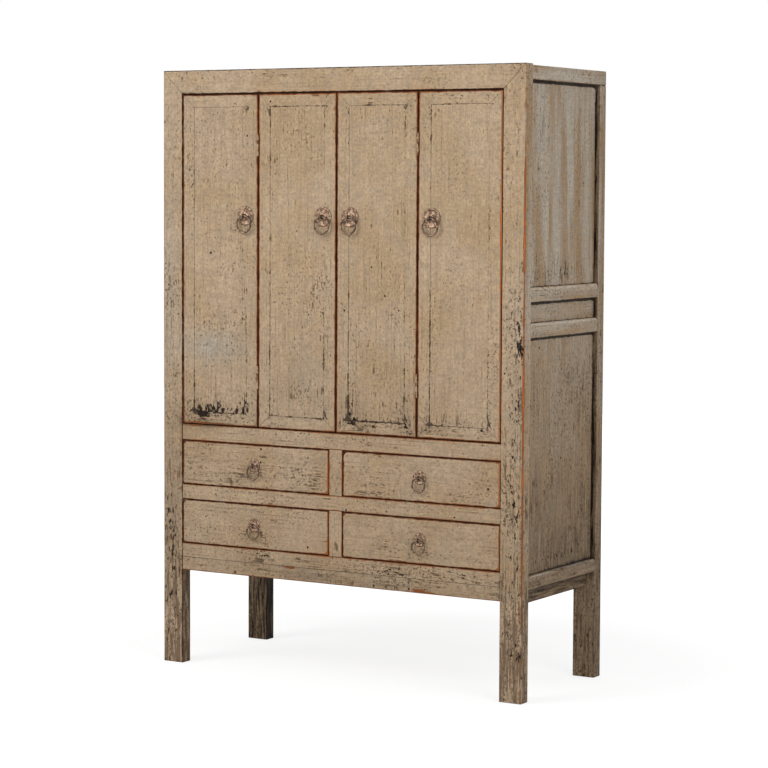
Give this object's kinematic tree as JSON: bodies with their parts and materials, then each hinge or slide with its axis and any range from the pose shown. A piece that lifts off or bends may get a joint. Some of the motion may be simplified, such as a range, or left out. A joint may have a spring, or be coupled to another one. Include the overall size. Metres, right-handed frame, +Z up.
{
  "type": "cabinet",
  "caption": "Tall painted wood cabinet on post legs, with folding pairs of panelled doors over rows of drawers, each opened by a swinging ring pull.",
  "frame": {"origin": "on the floor under the middle of the outline, ring pulls included", "axes": "+Z up, +X to the right of someone facing the doors, -Y out of the front"},
  "size_m": [1.226, 0.5128, 1.78],
  "materials": {
    "painted_wood": "worn khaki paint over a red-brown ground, rubbed through at the edges",
    "bare_wood": "unpainted, darkened with age",
    "pull_bronze": "aged bronze brown with rubbed highlights",
    "hinge_brass": "tarnished"
  },
  "bodies": {
    "carcass": {"back_left_post": "painted_wood", "back_panels": "bare_wood", "back_rails": "bare_wood", "back_right_post": "painted_wood", "bottom_board": "bare_wood", "compartment_floor": "bare_wood", "door_sill_rail": "painted_wood", "door_stops": "bare_wood", "drawer_dividers": "painted_wood", "drawer_middle_rail": "painted_wood", "drawer_runners": "bare_wood", "front_apron": "painted_wood", "front_bottom_rail": "painted_wood", "front_left_post": "painted_wood", "front_right_post": "painted_wood", "front_top_rail": "painted_wood", "ledger_strips": "bare_wood", "left_side_panels": "painted_wood", "left_side_rails": "painted_wood", "right_side_panels": "painted_wood", "right_side_rails": "painted_wood", "shelf": "bare_wood", "side_bearers": "bare_wood", "top_boards": "painted_wood"},
    "outer_left_door": {"outer_left_door_frame": "painted_wood", "outer_left_door_panel": "painted_wood", "outer_left_door_pull_mount": "pull_bronze", "left_fold_hinge_outer_leaves": "hinge_brass"},
    "outer_left_door_ring": {"outer_left_door_pull_ring": "pull_bronze"},
    "inner_left_door": {"inner_left_door_frame": "painted_wood", "inner_left_door_panel": "painted_wood", "inner_left_door_pull_mount": "pull_bronze", "left_fold_hinge_inner_leaves": "hinge_brass"},
    "inner_left_door_ring": {"inner_left_door_pull_ring": "pull_bronze"},
    "inner_right_door": {"inner_right_door_frame": "painted_wood", "inner_right_door_panel": "painted_wood", "inner_right_door_pull_mount": "pull_bronze", "right_fold_hinge_inner_leaves": "hinge_brass"},
    "inner_right_door_ring": {"inner_right_door_pull_ring": "pull_bronze"},
    "outer_right_door": {"outer_right_door_frame": "painted_wood", "outer_right_door_panel": "painted_wood", "outer_right_door_pull_mount": "pull_bronze", "right_fold_hinge_outer_leaves": "hinge_brass"},
    "outer_right_door_ring": {"outer_right_door_pull_ring": "pull_bronze"},
    "upper_left_drawer": {"upper_left_drawer_front": "painted_wood", "upper_left_drawer_box": "bare_wood", "upper_left_drawer_pull_mount": "pull_bronze"},
    "upper_left_drawer_ring": {"upper_left_drawer_pull_ring": "pull_bronze"},
    "upper_right_drawer": {"upper_right_drawer_front": "painted_wood", "upper_right_drawer_box": "bare_wood", "upper_right_drawer_pull_mount": "pull_bronze"},
    "upper_right_drawer_ring": {"upper_right_drawer_pull_ring": "pull_bronze"},
    "lower_left_drawer": {"lower_left_drawer_front": "painted_wood", "lower_left_drawer_box": "bare_wood", "lower_left_drawer_pull_mount": "pull_bronze"},
    "lower_left_drawer_ring": {"lower_left_drawer_pull_ring": "pull_bronze"},
    "lower_right_drawer": {"lower_right_drawer_front": "painted_wood", "lower_right_drawer_box": "bare_wood", "lower_right_drawer_pull_mount": "pull_bronze"},
    "lower_right_drawer_ring": {"lower_right_drawer_pull_ring": "pull_bronze"}
  },
  "joints": [
    {"name": "outer_left_door_hinge", "type": "hinge", "parent": "carcass", "child": "outer_left_door", "pos_m": [-0.5265, -0.23162, 1.218], "axis": [0, 0, -1], "range_deg": [0, 110]},
    {"name": "inner_left_door_fold", "type": "hinge", "parent": "outer_left_door", "child": "inner_left_door", "pos_m": [-0.27087, -0.24302, 1.218], "axis": [0, 0, -1], "range_deg": [0, 150]},
    {"name": "outer_right_door_hinge", "type": "hinge", "parent": "carcass", "child": "outer_right_door", "pos_m": [0.5265, -0.23162, 1.218], "axis": [0, 0, 1], "range_deg": [0, 110]},
    {"name": "inner_right_door_fold", "type": "hinge", "parent": "outer_right_door", "child": "inner_right_door", "pos_m": [0.27087, -0.24302, 1.218], "axis": [0, 0, 1], "range_deg": [0, 150]},
    {"name": "upper_left_drawer_slide", "type": "slide", "parent": "carcass", "child": "upper_left_drawer", "axis": [0, -1, 0], "range_m": [0, 0.3]},
    {"name": "upper_right_drawer_slide", "type": "slide", "parent": "carcass", "child": "upper_right_drawer", "axis": [0, -1, 0], "range_m": [0, 0.3]},
    {"name": "lower_left_drawer_slide", "type": "slide", "parent": "carcass", "child": "lower_left_drawer", "axis": [0, -1, 0], "range_m": [0, 0.3]},
    {"name": "lower_right_drawer_slide", "type": "slide", "parent": "carcass", "child": "lower_right_drawer", "axis": [0, -1, 0], "range_m": [0, 0.3]},
    {"name": "outer_left_door_ring_swing", "type": "hinge", "parent": "outer_left_door", "child": "outer_left_door_ring", "pos_m": [-0.31612, -0.24998, 1.351], "axis": [-1, 0, 0], "range_deg": [-5, 170]},
    {"name": "inner_left_door_ring_swing", "type": "hinge", "parent": "inner_left_door", "child": "inner_left_door_ring", "pos_m": [-0.04525, -0.24998, 1.351], "axis": [-1, 0, 0], "range_deg": [-5, 170]},
    {"name": "inner_right_door_ring_swing", "type": "hinge", "parent": "inner_right_door", "child": "inner_right_door_ring", "pos_m": [0.04525, -0.24998, 1.351], "axis": [-1, 0, 0], "range_deg": [-5, 170]},
    {"name": "outer_right_door_ring_swing", "type": "hinge", "parent": "outer_right_door", "child": "outer_right_door_ring", "pos_m": [0.31612, -0.24998, 1.351], "axis": [-1, 0, 0], "range_deg": [-5, 170]},
    {"name": "upper_left_drawer_ring_swing", "type": "hinge", "parent": "upper_left_drawer", "child": "upper_left_drawer_ring", "pos_m": [-0.283, -0.24957, 0.615], "axis": [-1, 0, 0], "range_deg": [-5, 170]},
    {"name": "upper_right_drawer_ring_swing", "type": "hinge", "parent": "upper_right_drawer", "child": "upper_right_drawer_ring", "pos_m": [0.283, -0.24957, 0.615], "axis": [-1, 0, 0], "range_deg": [-5, 170]},
    {"name": "lower_left_drawer_ring_swing", "type": "hinge", "parent": "lower_left_drawer", "child": "lower_left_drawer_ring", "pos_m": [-0.283, -0.24957, 0.437], "axis": [-1, 0, 0], "range_deg": [-5, 170]},
    {"name": "lower_right_drawer_ring_swing", "type": "hinge", "parent": "lower_right_drawer", "child": "lower_right_drawer_ring", "pos_m": [0.283, -0.24957, 0.437], "axis": [-1, 0, 0], "range_deg": [-5, 170]}
  ]
}
